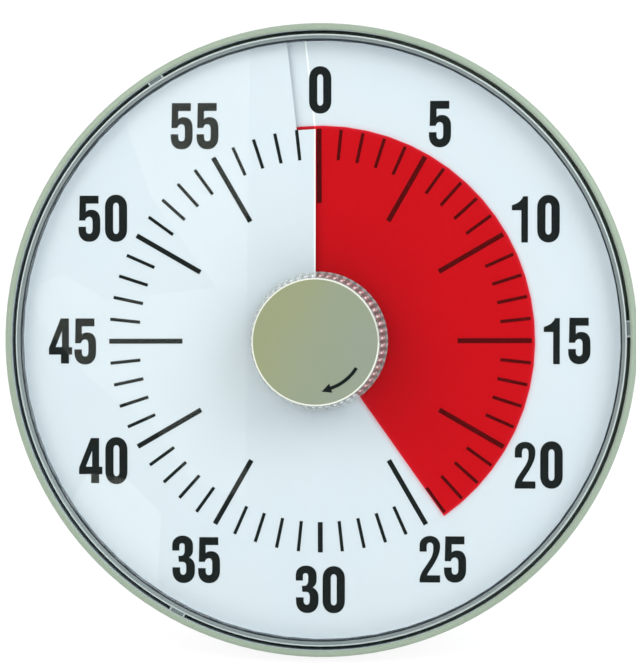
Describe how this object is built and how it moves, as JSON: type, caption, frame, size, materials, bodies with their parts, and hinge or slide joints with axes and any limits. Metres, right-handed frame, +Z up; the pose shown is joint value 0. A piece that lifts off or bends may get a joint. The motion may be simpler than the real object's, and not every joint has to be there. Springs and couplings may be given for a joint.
{
  "type": "visual countdown timer",
  "caption": "Round desk timer: a red see-through disc comes up through a slit in the white dial as the knob is turned, on a fold-out leg.",
  "frame": {"origin": "on the table under the middle of the timer's box, standing on its leg", "axes": "+Z up, +X to the right of the dial as the viewer sees it, -Y towards the viewer; the dial leans back on its leg"},
  "size_m": [0.19, 0.0748, 0.1859],
  "materials": {
    "case_silver": "satin champagne silver",
    "ring_silver": "satin silver",
    "cover_plastic": "fine moulded texture",
    "rubber": "matt",
    "lens_clear": "clear acrylic",
    "dial_card": "printed satin sheet",
    "film_red": "see-through film",
    "white_plastic": "moulded",
    "cap_satin": "satin champagne, bright edge",
    "grip_clear": "clear moulded acrylic",
    "steel": "turned",
    "brass": "turned",
    "gear_plastic": "natural acetal",
    "movement_plastic": "moulded black",
    "copper": "wound wire",
    "board_green": "lacquered",
    "cell_jacket": "printed sleeve",
    "nickel": "nickel plate"
  },
  "bodies": {
    "case": {"case_rim": "case_silver", "lens_ring": "ring_silver", "rear_cover": "cover_plastic", "lens": "lens_clear", "dial_card": "dial_card", "dial_plate": "white_plastic", "dial_ramp": "white_plastic", "shaft_bush": "brass", "wheel_arbors": "steel", "movement_front": "movement_plastic", "movement_back": "movement_plastic", "movement_screws": "steel", "cover_screws": "steel", "plate_screws": "steel", "motor_stator": "steel", "motor_coil": "copper", "zero_contact": "brass", "circuit_board": "board_green", "control_chip": "movement_plastic", "quartz_crystal": "steel", "sounder": "movement_plastic", "switch_body": "steel", "battery_cell": "cell_jacket", "contact_plus": "nickel", "contact_minus": "nickel", "magnets": "nickel", "stand_pin": "steel"},
    "knob": {"knob_grip": "grip_clear", "knob_cap": "cap_satin", "drive_shaft": "steel", "shaft_clip": "steel", "clutch_washer": "steel", "zero_cam": "white_plastic"},
    "film": {"film_disc": "film_red", "film_hub": "white_plastic"},
    "switch": {"switch_slider": "movement_plastic"},
    "stand": {"stand_leg": "cover_plastic", "stand_pad": "rubber"},
    "door": {"battery_door": "cover_plastic"},
    "output_gear": {"output_wheel": "gear_plastic"},
    "third_gear": {"third_wheel": "gear_plastic"},
    "second_gear": {"second_wheel": "gear_plastic"},
    "motor_rotor": {"rotor": "gear_plastic"}
  },
  "joints": [
    {"name": "knob_turn", "type": "hinge", "parent": "case", "child": "knob", "pos_m": [0, -0.00386, 0.09186], "axis": [0, 0.967, -0.2548], "range_deg": [-146.2, 213.8]},
    {"name": "film_rise", "type": "slide", "parent": "knob", "child": "film", "axis": [0, -0.967, 0.2548], "range_m": [-0.00066, 0.00096]},
    {"name": "switch_slide", "type": "slide", "parent": "case", "child": "switch", "axis": [0, 0.2548, 0.967], "range_m": [0, 0.0038]},
    {"name": "stand_fold", "type": "hinge", "parent": "case", "child": "stand", "pos_m": [0, 0.00943, 0.07285], "axis": [1, 0, 0], "range_deg": [-20, 0]},
    {"name": "door_open", "type": "hinge", "parent": "case", "child": "door", "pos_m": [0, 0.02419, 0.12336], "axis": [-1, 0, 0], "range_deg": [0, 95]},
    {"name": "rotor_turn", "type": "hinge", "parent": "case", "child": "motor_rotor", "pos_m": [-0.01004, 0.00205, 0.07505], "axis": [0, 0.967, -0.2548], "continuous": true},
    {"name": "second_turn", "type": "hinge", "parent": "case", "child": "second_gear", "pos_m": [0.00147, -0.00014, 0.07459], "axis": [0, 0.967, -0.2548], "continuous": true},
    {"name": "third_turn", "type": "hinge", "parent": "case", "child": "third_gear", "pos_m": [0.01207, -0.00064, 0.08055], "axis": [0, 0.967, -0.2548], "continuous": true},
    {"name": "output_turn", "type": "hinge", "parent": "case", "child": "output_gear", "pos_m": [0, 0, 0.09085], "axis": [0, 0.967, -0.2548], "continuous": true}
  ],
  "couplings": [
    {"joint": "film_rise", "follows": "knob_turn", "m_per_rad": 0.00025465},
    {"joint": "rotor_turn", "follows": "second_turn", "ratio": -10},
    {"joint": "third_turn", "follows": "second_turn", "ratio": -0.2},
    {"joint": "output_turn", "follows": "second_turn", "ratio": 0.033333}
  ]
}
